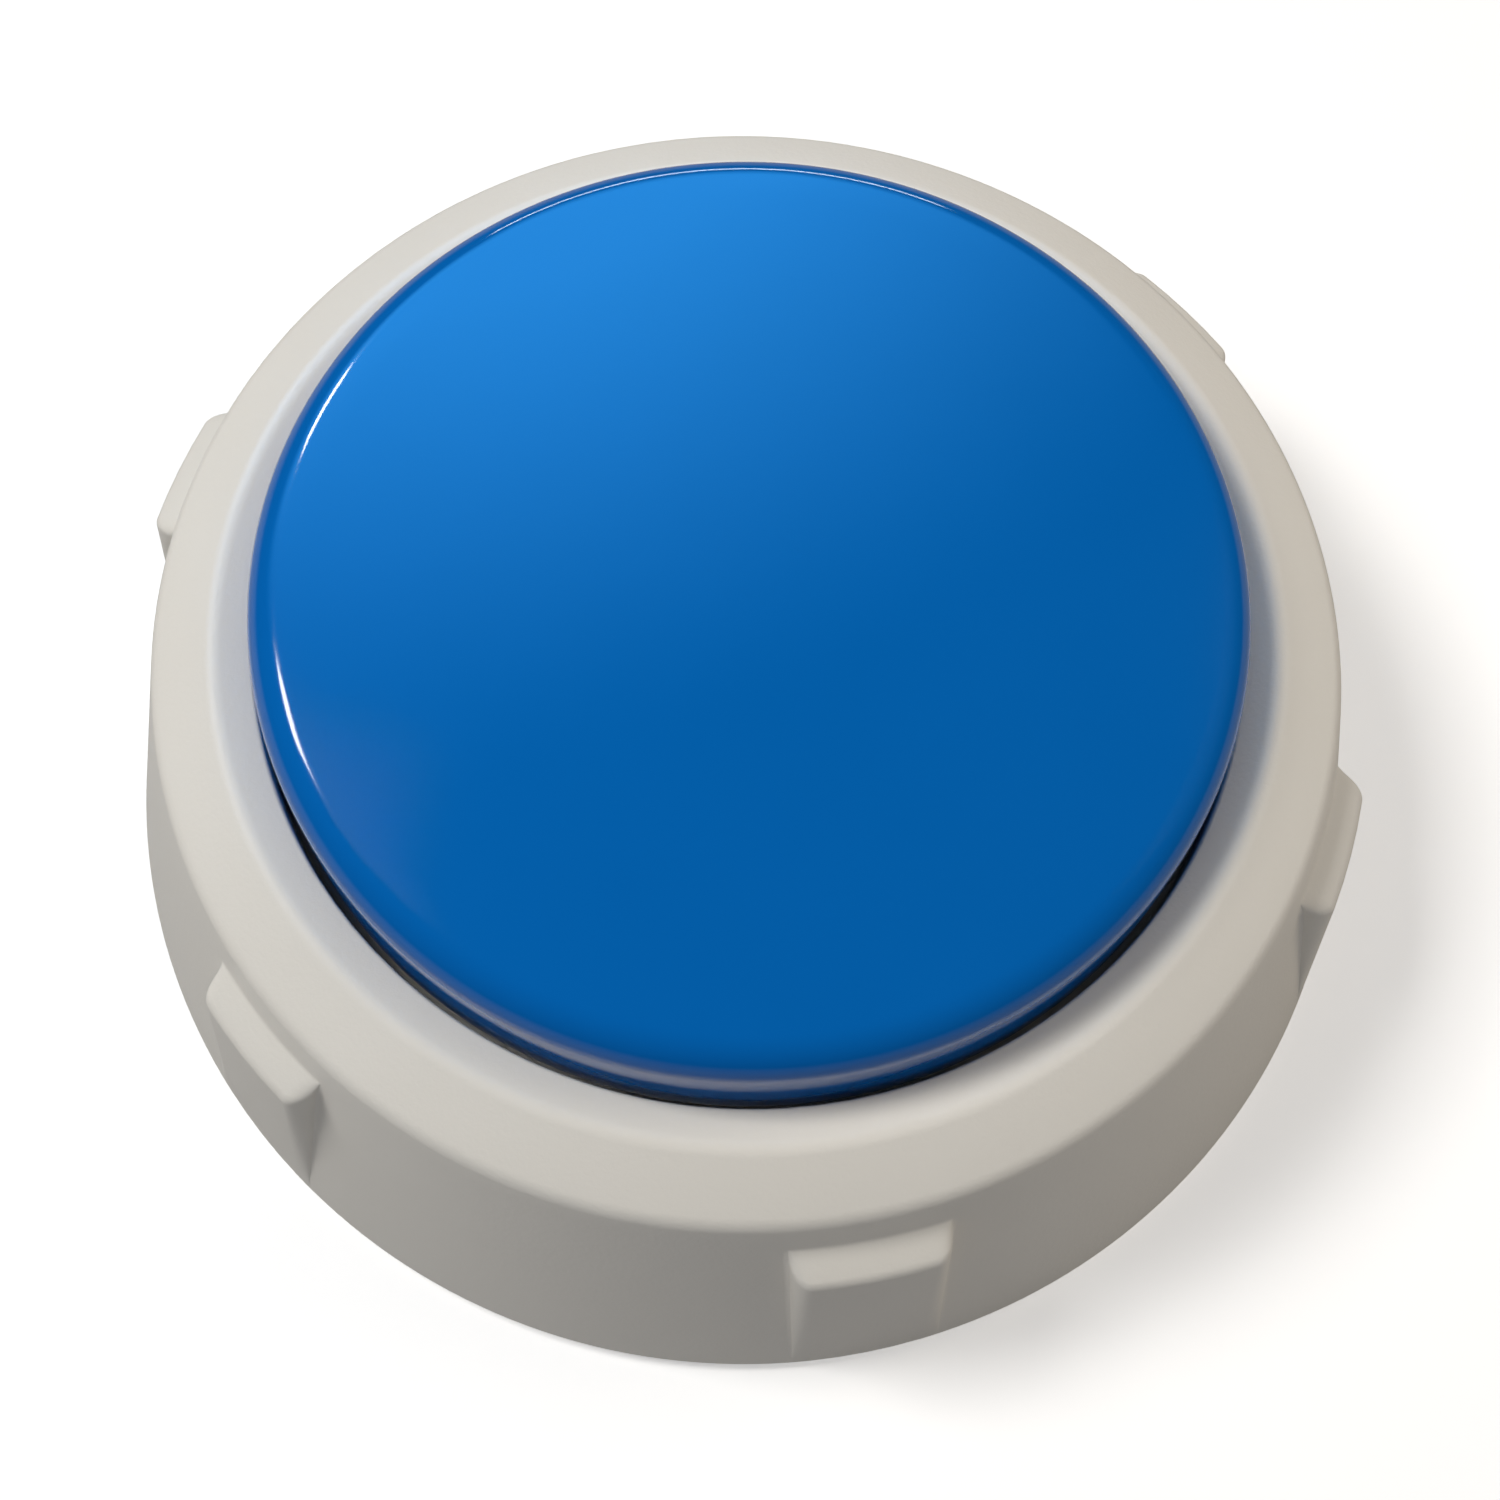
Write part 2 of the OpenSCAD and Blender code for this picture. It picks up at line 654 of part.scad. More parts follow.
module button_cap() {
    steps = 10;
    root = shoulder_z - cap_t / 2;
    color([0.02, 0.33, 0.72]) union() {
        rotate_extrude($fn = fine) polygon(concat(
            [for (i = [0:steps]) let (r = dome_flat_r * i / steps) [r, dome_z(r)]],
            corner(dome_flat_r, shoulder_z - cap_edge_r, cap_edge_r, 75, 0),
            [[cap_r, skirt_z], [cap_in_r, skirt_z]],
            corner(cap_in_r - 1, shoulder_z - cap_t - 1, 1, 0, 90, 3),
            [for (i = [steps - 2:-1:0]) let (r = dome_flat_r * i / steps) [r, dome_z(r) - cap_t]]));
        // Post that presses the switch, and the seat round the spring
        rod(2 * post_r, post_z, root + dome_rise);
        ring(spring_seat_r, spring_seat_r + 1, shoulder_z - cap_t - 1.4, root + dome_rise / 2);
        // Snap legs
        around(leg_r, leg_angles) {
            box_at(0, leg_t, -leg_w / 2, leg_w / 2, hook_z - hook_h, root);
            translate([leg_t, leg_w / 2, hook_z]) rotate([90, 0, 0]) linear_extrude(leg_w)
                polygon([[-fuse, 0], [hook_out, 0], [hook_out, -0.5], [0, -hook_h], [-fuse, -hook_h]]);
        }
    }
}

module return_spring() {
    color([0.78, 0.78, 0.78]) swept(coil(spring_r, spring_r, spring_wire, deck_top + 0.02,
        dome_z(spring_r) - cap_t - 0.06, spring_turns, 24), spring_wire / 2);
}

upper_housing();
base_plate();
housing_screws();
rubber_feet();
battery_door();
door_screws();
battery_rear();
battery_front();
bridge_contact();
positive_contact();
negative_contact();
circuit_board();
board_screws();
switch_body();
switch_cover();
switch_plunger();
sound_chip();
capacitor();
resistors();
speaker_frame();
speaker_cone();
speaker_magnet();
speaker_gasket();
positive_lead();
negative_lead();
speaker_leads();
button_cap();
return_spring();
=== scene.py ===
from math import acos, asin, cos, pi, radians, sin, sqrt, tan

import bmesh
import bpy
from mathutils import Matrix, Vector


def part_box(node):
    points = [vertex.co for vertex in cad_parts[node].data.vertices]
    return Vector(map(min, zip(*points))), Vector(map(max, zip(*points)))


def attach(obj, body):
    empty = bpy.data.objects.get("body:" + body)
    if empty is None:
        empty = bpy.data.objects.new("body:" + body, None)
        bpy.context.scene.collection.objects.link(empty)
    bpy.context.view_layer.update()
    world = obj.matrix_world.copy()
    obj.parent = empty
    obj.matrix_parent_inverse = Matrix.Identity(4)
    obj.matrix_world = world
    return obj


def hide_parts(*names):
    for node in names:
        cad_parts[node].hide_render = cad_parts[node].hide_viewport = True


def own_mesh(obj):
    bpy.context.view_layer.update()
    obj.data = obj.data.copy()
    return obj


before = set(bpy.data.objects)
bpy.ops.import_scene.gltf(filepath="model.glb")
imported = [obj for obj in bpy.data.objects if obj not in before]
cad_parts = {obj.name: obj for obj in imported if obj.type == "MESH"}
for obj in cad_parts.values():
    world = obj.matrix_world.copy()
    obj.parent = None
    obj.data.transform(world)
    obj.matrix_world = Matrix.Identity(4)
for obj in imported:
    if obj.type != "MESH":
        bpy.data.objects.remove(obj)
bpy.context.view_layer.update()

# ---------------------------------------------------------------- viewpoint
# The camera stands in front of the buzzer and looks down on it steeply, as
# someone does who is about to press it. Lengths below are millimetres.

MM = 0.001
camera_at = Vector((-12.7, -53.95, 149.5)) * MM
camera_aim = Vector((-0.5, -4.09, 12.25)) * MM
camera_roll = radians(3.114)

forward = (camera_aim - camera_at).normalized()
level = forward.cross(Vector((0, 0, 1))).normalized()
upright = level.cross(forward)
across = cos(camera_roll) * level + sin(camera_roll) * upright
upwards = cos(camera_roll) * upright - sin(camera_roll) * level

camera = bpy.data.objects.new("camera", bpy.data.cameras.new("camera"))
camera.data.lens = 50
camera.data.sensor_width = 36
camera.data.clip_start = 0.01
camera.matrix_world = Matrix.Translation(camera_at) @ Matrix(
    (across, upwards, -forward)).transposed().to_4x4()
bpy.context.scene.collection.objects.link(camera)
bpy.context.scene.camera = camera

# ---------------------------------------------------------------- upper housing
# The white shell: one injection moulding in warm white ABS, with a flared wall,
# six grip lugs, a sloping top ring, a collar round the cap, and the deck that
# carries the cap's spring, the board's standoffs and the screw posts.


def filleted(corners, steps=6):
    """An outline from [r, z, fillet] corners, each fillet turned into an arc."""
    points = []
    last = len(corners) - 1
    for i, (x, z, fillet) in enumerate(corners):
        here = Vector((x, z))
        if not fillet or i in (0, last):
            points.append(here)
            continue
        back = (Vector(corners[i - 1][:2]) - here).normalized()
        ahead = (Vector(corners[i + 1][:2]) - here).normalized()
        half = acos(max(-1, min(1, back.dot(ahead)))) / 2
        centre = here + (back + ahead).normalized() * fillet / sin(half)
        start = here + back * fillet / tan(half) - centre
        end = here + ahead * fillet / tan(half) - centre
        sweep = pi - 2 * half
        for k in range(steps + 1):
            turn = sweep * k / steps
            points.append(centre + (start * sin(sweep - turn) + end * sin(turn)) / sin(sweep))
    return points


def skin(rings, first_point=None, last_point=None, loop=False):
    """Vertices and faces over rings of points, with a point or a flat face at each end."""
    verts = [v for ring in rings for v in ring]
    n = len(rings[0])
    faces = []
    for i in range(len(rings) if loop else len(rings) - 1):
        a, b = i * n, (i + 1) % len(rings) * n
        faces += [(a + k, a + (k + 1) % n, b + (k + 1) % n, b + k) for k in range(n)]
    if loop:
        return verts, faces
    for tip, start, turn in ((first_point, 0, -1), (last_point, (len(rings) - 1) * n, 1)):
        rim = [start + k for k in range(n)][::turn]
        if tip is None:
            faces.append(tuple(rim))
        else:
            verts.append(tip)
            faces += [(rim[k], rim[(k + 1) % n], len(verts) - 1) for k in range(n)]
    return verts, faces


def ring_at(radius, z, count):
    """Points evenly round the Z axis."""
    turns = [2 * pi * k / count for k in range(count)]
    return [(radius * cos(turn), radius * sin(turn), z) for turn in turns]


def lathe(outline, count):
    """A turned solid from an outline that starts and ends on the axis."""
    rings = [ring_at(r, z, count) for r, z in outline[1:-1]]
    return skin(rings, (0, 0, outline[0][1]), (0, 0, outline[-1][1]))


def turned_ring(outline, count):
    """A turned ring from a closed outline."""
    return skin([ring_at(r, z, count) for r, z in outline], loop=True)


def rod(radius, z0, z1, count=40, edge=0.15):
    """An upright pin with softly broken edges."""
    return lathe(filleted([(0, z0, 0), (radius, z0, edge), (radius, z1, edge), (0, z1, 0)], 2), count)


def prism(outline, z0, z1):
    """An upright bar with a flat outline."""
    return skin([[(x, y, z0) for x, y in outline], [(x, y, z1) for x, y in outline]])


def moved(part, matrix):
    """A copy of a part's vertices and faces, put in place by a matrix."""
    return [tuple(matrix @ Vector(v)) for v in part[0]], part[1]


def turned(part, angle, offset=(0, 0, 0)):
    """A copy of a part, shifted and then turned about the Z axis."""
    return moved(part, Matrix.Rotation(radians(angle), 4, "Z") @ Matrix.Translation(offset))


def build(name, parts):
    """One object from parts in millimetres, with every face turned outwards."""
    verts = []
    faces = []
    for part_verts, part_faces in parts:
        faces += [[i + len(verts) for i in face] for face in part_faces]
        verts += [Vector(v) * MM for v in part_verts]
    mesh = bpy.data.meshes.new(name)
    mesh.from_pydata(verts, [], faces)
    shape = bmesh.new()
    shape.from_mesh(mesh)
    bmesh.ops.recalc_face_normals(shape, faces=shape.faces)
    shape.to_mesh(mesh)
    shape.free()
    piece = bpy.data.objects.new(name, mesh)
    bpy.context.scene.collection.objects.link(piece)
    return piece


def cut_or_join(piece, parts, operation):
    """Joins parts to a piece, or cuts them out of it, for good, and clears the slivers this leaves."""
    tool = build("tool", parts)
    step = piece.modifiers.new(operation, "BOOLEAN")
    step.operation = operation
    step.object = tool
    step.solver = "EXACT"
    bpy.context.view_layer.update()
    result = bpy.data.meshes.new_from_object(piece.evaluated_get(bpy.context.evaluated_depsgraph_get()))
    piece.modifiers.clear()
    sliver = 0.002 * MM
    shape = bmesh.new()
    shape.from_mesh(result)
    bmesh.ops.remove_doubles(shape, verts=shape.verts, dist=sliver)
    bmesh.ops.dissolve_degenerate(shape, edges=shape.edges, dist=sliver)
    bmesh.ops.triangulate(shape, faces=[face for face in shape.faces if len(face.verts) > 4])
    bmesh.ops.dissolve_degenerate(shape, edges=shape.edges, dist=sliver)
    shape.to_mesh(result)
    shape.free()
    piece.data = result
    bpy.data.objects.remove(tool)


def smooth_shaded(piece, sharp=32):
    """Shades a piece smooth, with a hard line where two faces meet at more than sharp degrees."""
    piece.data.shade_smooth()
    piece.data.set_sharp_from_angle(angle=radians(sharp))
    return piece


housing_low, housing_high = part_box("upper_housing")
cap_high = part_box("button_cap")[1]
board_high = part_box("circuit_board")[1]
base_r = housing_high.x / MM
rim_z = housing_low.z / MM
crest_z = housing_high.z / MM
cap_r = cap_high.x / MM
cap_top = cap_high.z / MM
board_top = board_high.z / MM
shell_t, deck_t, collar_t = 2, 1.6, 1.6
cap_gap = 0.5
open_r = cap_r + cap_gap
lead_w, lead_drop = 2.5, 0.8
ring_w, ring_rise = 4.4, 2.6
crest_r = open_r + lead_w
top_r = crest_r + ring_w
open_z = crest_z - lead_drop
crease_z = crest_z - ring_rise
flare = (base_r - top_r) / (crease_z - rim_z)
board_post_h = 0.6
deck_z = board_top + board_post_h
deck_top = deck_z + deck_t
collar_r = open_r + collar_t
plate_top = rim_z + shell_t
lug_w, lug_out, lug_drop, lug_r = 10.2, 2.1, 4, 1.2
lug_slope = radians(30)


def wall_r(z):
    """Radius of the flared wall's outer face at a height."""
    return base_r - flare * (z - rim_z)


# A lug's side view: up its steep face, round its shoulder, up its sloping top to the wall
lug_foot = 0.6
foot_z = rim_z + lug_foot
lug_face_r = wall_r(crease_z - lug_drop) + lug_out
shoulder_rise = lug_r * (1 - cos(lug_slope) + tan(lug_slope) * (1 - sin(lug_slope)))
lug_edge_z = crease_z - lug_drop - shoulder_rise
climb = tan(lug_slope)
root_z = (lug_edge_z + climb * (lug_face_r - base_r - flare * rim_z)) / (1 - climb * flare)
above_root = root_z + 0.8
lug_side = filleted([
    (wall_r(foot_z), foot_z, 0), (lug_face_r, lug_edge_z, lug_r), (wall_r(root_z), root_z, 0.5),
    (wall_r(above_root), above_root, 0)], 7)
row_h = 1.2
rows = []
for a, b in zip(lug_side, lug_side[1:]):
    steps_here = max(1, round((b - a).length / row_h))
    rows += [a.lerp(b, k / steps_here) for k in range(steps_here)]
rows.append(lug_side[-1])
run = [0]
for a, b in zip(rows, rows[1:]):
    run.append(run[-1] + max(b.y - a.y, 0.25 * (b - a).length))
wall_rows = [foot_z + (lug_side[-1].y - foot_z) * share / run[-1] for share in run]

# Columns round the housing, each with its offset from a lug's middle and how far it
# stands out there: a small fillet at the lug's root, then a rounded corner
root_w, root_share = 0.35, 0.14
root_columns, corner_columns, face_columns, plain_columns = 3, 9, 4, 30
lug_flank = [(lug_w / 2 + root_w * (1 - k / root_columns), root_share * (k / root_columns) ** 2)
             for k in range(root_columns)]
for k in range(corner_columns + 1):
    turn = pi / 2 * k / corner_columns
    lug_flank.append((lug_w / 2 - lug_r * (1 - cos(turn)), root_share + (1 - root_share) * sin(turn)))
lug_face_w = lug_w - 2 * lug_r
lug_columns = [(-offset, share) for offset, share in lug_flank]
lug_columns += [(lug_face_w * (k / face_columns - 0.5), 1) for k in range(1, face_columns)]
lug_columns += lug_flank[::-1]


def column_angle(offset, r):
    """How far round a column stands from its lug's middle; inside the opening all run to the axis."""
    return asin(offset / max(r, open_r))


def housing_ring(plain, raised=None):
    """One ring of the housing, at [r, z] on the plain wall and at raised on the lugs."""
    raised = raised or plain
    points = []
    edge = column_angle(lug_columns[-1][0], plain[0])
    gap = radians(60) - 2 * edge
    for lug in range(6):
        middle = radians(-90 + 60 * lug)
        for offset, share in lug_columns:
            r = plain[0] + (raised[0] - plain[0]) * share
            z = plain[1] + (raised[1] - plain[1]) * share
            angle = middle + column_angle(offset, r)
            points.append((r * cos(angle), r * sin(angle), z))
        for k in range(1, plain_columns):
            angle = middle + edge + gap * k / plain_columns
            points.append((plain[0] * cos(angle), plain[0] * sin(angle), plain[1]))
    return points


# The spring's seat and the opening's side, then outwards over the top ring and down
axis_r = 0.8
above = filleted([
    (axis_r, deck_top, 0), (open_r, deck_top, 0.4), (open_r, open_z, 0.35), (crest_r, crest_z, 1.5),
    (top_r, crease_z, 1.8), (wall_r(above_root + 0.3), above_root + 0.3, 0)], 7)
eaves_z = crease_z - 2.4
below = filleted([
    (wall_r(foot_z - 0.1), foot_z - 0.1, 0), (base_r, rim_z, 0.35), (base_r - shell_t, rim_z, 0.1),
    (base_r - shell_t, plate_top + 0.05, 0), (wall_r(plate_top) - shell_t, plate_top + 0.05, 0.1),
    (wall_r(eaves_z) - shell_t, eaves_z, 1), (crest_r, crest_z - shell_t - 0.6, 0.8),
    (collar_r, open_z - shell_t, 0.3), (collar_r, deck_z, 0.1), (axis_r, deck_z, 0)], 3)
rings = [housing_ring(p) for p in above]
rings += [housing_ring((wall_r(z), z), p) for z, p in list(zip(wall_rows, rows))[::-1]]
rings += [housing_ring(p) for p in below]
housing = build("housing_shell", [skin(rings, (0, 0, deck_top), (0, 0, deck_z))])

# What is joined to the shell: the ring that centres the spring, three screw posts,
# three standoffs for the board, and six ribs between collar and wall
spring_r = 5.9
seat_r, seat_t, seat_h = spring_r + 0.7, 1, 1.2
post_r, standoff_r = 3, 2.2
screw_ring_r = collar_r + 2.6
board_screw_r = board_high.x / MM - 3
post_angles = (30, 150, 270)
board_angles = (90, 210, 330)
boss_top = plate_top + 2.5
rib_t, rib_sunk, rib_short = 1.2, 0.3, 1.2
rib_in = collar_r - rib_sunk
rib = [(rib_in, deck_z), (wall_r(deck_z) - rib_short, deck_z), (wall_r(eaves_z) - rib_short, crease_z - 2),
       (crest_r, crest_z - 1.6), (rib_in, open_z - 1)]
rib_bar = moved(prism(rib, -rib_t / 2, rib_t / 2), Matrix.Rotation(radians(90), 4, "X"))
added = [turned_ring(filleted([
    (seat_r, deck_top - 0.3, 0), (seat_r + seat_t, deck_top - 0.3, 0.01),
    (seat_r + seat_t, deck_top + seat_h, 0.3), (seat_r, deck_top + seat_h, 0.3),
    (seat_r, deck_top - 0.2, 0)], 3), 64)]
for angle in post_angles:
    added.append(turned(rod(post_r, boss_top, deck_z + 0.8), angle, (screw_ring_r, 0, 0)))
for angle in board_angles:
    added.append(turned(rod(standoff_r, board_top, deck_z + 0.3), angle, (board_screw_r, 0, 0)))
added += [turned(rib_bar, 60 * i) for i in range(6)]
cut_or_join(housing, added, "UNION")

# What is cut out of it: the switch's hole, the screws' bores and the legs' slots
switch_hole_r, post_bore_r, standoff_bore_r = 4.9, 1.2, 0.85
post_bore = 9
leg_angles = (30, 150, 270)
leg_r, leg_t, leg_w = open_r - 4.6, 1.6, 6
slot_in, slot_out, slot_side = 1.8, leg_t + 0.3, leg_w / 2 + 0.3
slot_outline = [(-slot_in, -slot_side), (slot_out, -slot_side), (slot_out, slot_side), (-slot_in, slot_side)]
removed = [rod(switch_hole_r, deck_z - 1, deck_top + 2, 64)]
for angle in post_angles:
    bore = rod(post_bore_r, boss_top - 1, boss_top - 1 + post_bore)
    removed.append(turned(bore, angle, (screw_ring_r, 0, 0)))
for angle in board_angles:
    bore = rod(standoff_bore_r, board_top - 1, deck_top - 0.5)
    removed.append(turned(bore, angle, (board_screw_r, 0, 0)))
for angle in leg_angles:
    removed.append(turned(prism(slot_outline, deck_z - 1, deck_top + 1), angle, (leg_r, 0, 0)))
cut_or_join(housing, removed, "DIFFERENCE")
smooth_shaded(housing)
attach(housing, "housing")
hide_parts("upper_housing")


def socket(group, name, kind, value=None, output=False):
    """A named input or output of a shader node group."""
    side = "OUTPUT" if output else "INPUT"
    made = group.interface.new_socket(name=name, in_out=side, socket_type=kind)
    if value is not None:
        made.default_value = value


def node(tree, kind, **settings):
    """A shader node with its settings."""
    made = tree.nodes.new(kind)
    for key, value in settings.items():
        setattr(made, key, value)
    return made


def noise(tree, vector, scale, detail=3, roughness=0.5):
    """A noise texture over a vector, at so many features to the metre."""
    made = node(tree, "ShaderNodeTexNoise")
    made.inputs["Detail"].default_value = detail
    made.inputs["Roughness"].default_value = roughness
    tree.links.new(vector, made.inputs["Vector"])
    if isinstance(scale, (int, float)):
        made.inputs["Scale"].default_value = scale
    else:
        tree.links.new(scale, made.inputs["Scale"])
    return made.outputs["Fac"]


def spread(tree, value, low, high, to_low, to_high):
    """Stretches a value from one range to another; each end is a number or a socket."""
    made = node(tree, "ShaderNodeMapRange")
    tree.links.new(value, made.inputs["Value"])
    for name, end in (("From Min", low), ("From Max", high), ("To Min", to_low), ("To Max", to_high)):
        if isinstance(end, (int, float)):
            made.inputs[name].default_value = end
        else:
            tree.links.new(end, made.inputs[name])
    return made.outputs["Result"]


def arithmetic(tree, operation, a, b):
    """One step of arithmetic between sockets or numbers."""
    made = node(tree, "ShaderNodeMath", operation=operation)
    for slot_in, value in zip(made.inputs, (a, b)):
        if isinstance(value, (int, float)):
            slot_in.default_value = value
        else:
            tree.links.new(value, slot_in)
    return made.outputs[0]


# Moulded surface: a fine spark-eroded grain, slow waviness from the tool, and a
# finish that is a little duller in places
moulded = bpy.data.node_groups.new("moulded_surface", "ShaderNodeTree")
socket(moulded, "Grain Scale", "NodeSocketFloat", 2500)
socket(moulded, "Grain Depth", "NodeSocketFloat", 0.5)
socket(moulded, "Shiny", "NodeSocketFloat", 0.3)
socket(moulded, "Dull", "NodeSocketFloat", 0.4)
socket(moulded, "Height", "NodeSocketFloat", output=True)
socket(moulded, "Roughness", "NodeSocketFloat", output=True)
socket(moulded, "Mottle", "NodeSocketFloat", output=True)
group_in = node(moulded, "NodeGroupInput")
group_out = node(moulded, "NodeGroupOutput")
place = node(moulded, "ShaderNodeTexCoord").outputs["Object"]
grain = noise(moulded, place, group_in.outputs["Grain Scale"], 4, 0.6)
waves = noise(moulded, place, 60, 2)
cloud = noise(moulded, place, 35, 4, 0.6)
deep_grain = arithmetic(moulded, "MULTIPLY", grain, group_in.outputs["Grain Depth"])
moulded.links.new(arithmetic(moulded, "ADD", deep_grain, waves), group_out.inputs["Height"])
moulded.links.new(spread(moulded, cloud, 0.3, 0.7, group_in.outputs["Shiny"], group_in.outputs["Dull"]),
                  group_out.inputs["Roughness"])
moulded.links.new(spread(moulded, cloud, 0.25, 0.75, 0, 1), group_out.inputs["Mottle"])


def two_tone(tree, share, light, dark):
    """Goes from dark to light as a value goes from 0 to 1; each is a colour or a socket."""
    mix = node(tree, "ShaderNodeMix", data_type="RGBA")
    tree.links.new(share, mix.inputs["Factor"])
    for colour_in, colour in zip(mix.inputs[6:8], (dark, light)):
        if isinstance(colour, tuple):
            colour_in.default_value = (*colour, 1)
        else:
            tree.links.new(colour, colour_in)
    return mix.outputs[2]


def finish_of(name):
    """A new material: its node tree and its shader."""
    material = bpy.data.materials.new(name)
    material.use_nodes = True
    shader = material.node_tree.nodes["Principled BSDF"]
    return material, material.node_tree, shader


def raise_grain(tree, shader, height, strength, depth):
    """Feeds a height into the shader's normal, depth in metres."""
    bump = node(tree, "ShaderNodeBump")
    bump.inputs["Strength"].default_value = strength
    bump.inputs["Distance"].default_value = depth
    tree.links.new(height, bump.inputs["Height"])
    tree.links.new(bump.outputs["Normal"], shader.inputs["Normal"])


def moulded_plastic(name, light, dark, shiny, dull, grain_scale, grain_depth, bump_depth):
    """A moulded plastic or rubber: its colour, how shiny it is and how coarse its grain."""
    material, tree, shader = finish_of(name)
    surface = node(tree, "ShaderNodeGroup", node_tree=moulded)
    for key, value in (("Grain Scale", grain_scale), ("Grain Depth", grain_depth),
                       ("Shiny", shiny), ("Dull", dull)):
        surface.inputs[key].default_value = value
    tree.links.new(two_tone(tree, surface.outputs["Mottle"], light, dark), shader.inputs["Base Color"])
    tree.links.new(surface.outputs["Roughness"], shader.inputs["Roughness"])
    raise_grain(tree, shader, surface.outputs["Height"], 0.6, bump_depth)
    return material


warm_white = moulded_plastic(
    "warm_white_abs", (0.83, 0.80, 0.735), (0.80, 0.768, 0.70), 0.36, 0.46, 2600, 0.35, 0.00012)
housing.data.materials.append(warm_white)


def dress(names, material):
    """Gives CAD nodes a finish."""
    for name in names:
        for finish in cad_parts[name].material_slots:
            finish.material = material


# ---------------------------------------------------------------- base plate and door
# The closing plate and the battery door, moulded in the same white ABS but left
# plainer, since nobody sees them in use. The plate is drawn up by three screws.

under_white = moulded_plastic(
    "underside_abs", (0.76, 0.74, 0.67), (0.72, 0.70, 0.63), 0.42, 0.56, 1900, 0.6, 0.00014)
dress(["base_plate", "battery_door"], under_white)

# ---------------------------------------------------------------- screws
# Zinc-plated pan-head screws with a cross recess, for the plate, the door and
# the board.

plated = bpy.data.node_groups.new("drawn_metal", "ShaderNodeTree")
socket(plated, "Streak Scale", "NodeSocketFloat", 900)
socket(plated, "Shiny", "NodeSocketFloat", 0.25)
socket(plated, "Dull", "NodeSocketFloat", 0.45)
socket(plated, "Roughness", "NodeSocketFloat", output=True)
socket(plated, "Height", "NodeSocketFloat", output=True)
socket(plated, "Tarnish", "NodeSocketFloat", output=True)
group_in = node(plated, "NodeGroupInput")
group_out = node(plated, "NodeGroupOutput")
place = node(plated, "ShaderNodeTexCoord").outputs["Object"]
stretch = node(plated, "ShaderNodeMapping")
stretch.inputs["Scale"].default_value = (1, 1, 6)
plated.links.new(place, stretch.inputs["Vector"])
streaks = noise(plated, stretch.outputs["Vector"], group_in.outputs["Streak Scale"], 3, 0.6)
bloom = noise(plated, place, 220, 3, 0.6)
plated.links.new(spread(plated, streaks, 0.3, 0.7, group_in.outputs["Shiny"], group_in.outputs["Dull"]),
                 group_out.inputs["Roughness"])
plated.links.new(streaks, group_out.inputs["Height"])
plated.links.new(spread(plated, bloom, 0.35, 0.7, 0, 1), group_out.inputs["Tarnish"])


def metal(name, bright, tarnished, shiny, dull, streak_scale):
    """A bare or plated metal with drawn streaks and a little tarnish."""
    material, tree, shader = finish_of(name)
    surface = node(tree, "ShaderNodeGroup", node_tree=plated)
    for key, value in (("Streak Scale", streak_scale), ("Shiny", shiny), ("Dull", dull)):
        surface.inputs[key].default_value = value
    colour = two_tone(tree, surface.outputs["Tarnish"], tarnished, bright)
    tree.links.new(colour, shader.inputs["Base Color"])
    tree.links.new(surface.outputs["Roughness"], shader.inputs["Roughness"])
    shader.inputs["Metallic"].default_value = 1
    raise_grain(tree, shader, surface.outputs["Height"], 0.4, 0.00002)
    return material


zinc = metal("zinc_plate", (0.62, 0.62, 0.60), (0.45, 0.45, 0.42), 0.28, 0.45, 1400)
dress(["housing_screws", "door_screws", "board_screws"], zinc)

# ---------------------------------------------------------------- feet
# Three black rubber discs glued into shallow seats under the base plate.

rubber = moulded_plastic(
    "black_rubber", (0.035, 0.035, 0.036), (0.022, 0.022, 0.023), 0.62, 0.8, 3200, 1, 0.0001)
dress(["rubber_feet"], rubber)

# ---------------------------------------------------------------- cells
# Two AAA cells in plain printed sleeves, with bare nickel-plated ends.

nickel_bright, nickel_dull = (0.66, 0.65, 0.62), (0.5, 0.49, 0.46)
band_share = 0.26
nub_h, bare_end = 1.5 * MM, 0.4 * MM


def cell_jacket(name, node_name, nub_side):
    """A sleeve with a copper-coloured band at the nub's end; past its ends the can is bare."""
    material, tree, shader = finish_of(name)
    surface = node(tree, "ShaderNodeGroup", node_tree=plated)
    surface.inputs["Streak Scale"].default_value = 700
    surface.inputs["Shiny"].default_value = 0.22
    surface.inputs["Dull"].default_value = 0.34
    low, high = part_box(node_name)
    length = high.x - low.x
    nub_x = high.x if nub_side > 0 else low.x
    along = node(tree, "ShaderNodeSeparateXYZ")
    tree.links.new(node(tree, "ShaderNodeTexCoord").outputs["Object"], along.inputs[0])
    from_nub = arithmetic(tree, "SUBTRACT", along.outputs["X"], nub_x)
    from_nub = arithmetic(tree, "MULTIPLY", from_nub, -nub_side)
    on_band = arithmetic(tree, "LESS_THAN", from_nub, band_share * length)
    banded = two_tone(tree, on_band, (0.55, 0.26, 0.08), (0.03, 0.035, 0.045))
    past_nub = arithmetic(tree, "LESS_THAN", from_nub, nub_h)
    past_end = arithmetic(tree, "GREATER_THAN", from_nub, length - bare_end)
    bare = arithmetic(tree, "MAXIMUM", past_nub, past_end)
    can = two_tone(tree, surface.outputs["Tarnish"], nickel_dull, nickel_bright)
    tree.links.new(two_tone(tree, bare, can, banded), shader.inputs["Base Color"])
    tree.links.new(bare, shader.inputs["Metallic"])
    tree.links.new(surface.outputs["Roughness"], shader.inputs["Roughness"])
    raise_grain(tree, shader, surface.outputs["Height"], 0.3, 0.00001)
    return material


dress(["battery_rear"], cell_jacket("rear_cell_sleeve", "battery_rear", 1))
dress(["battery_front"], cell_jacket("front_cell_sleeve", "battery_front", -1))

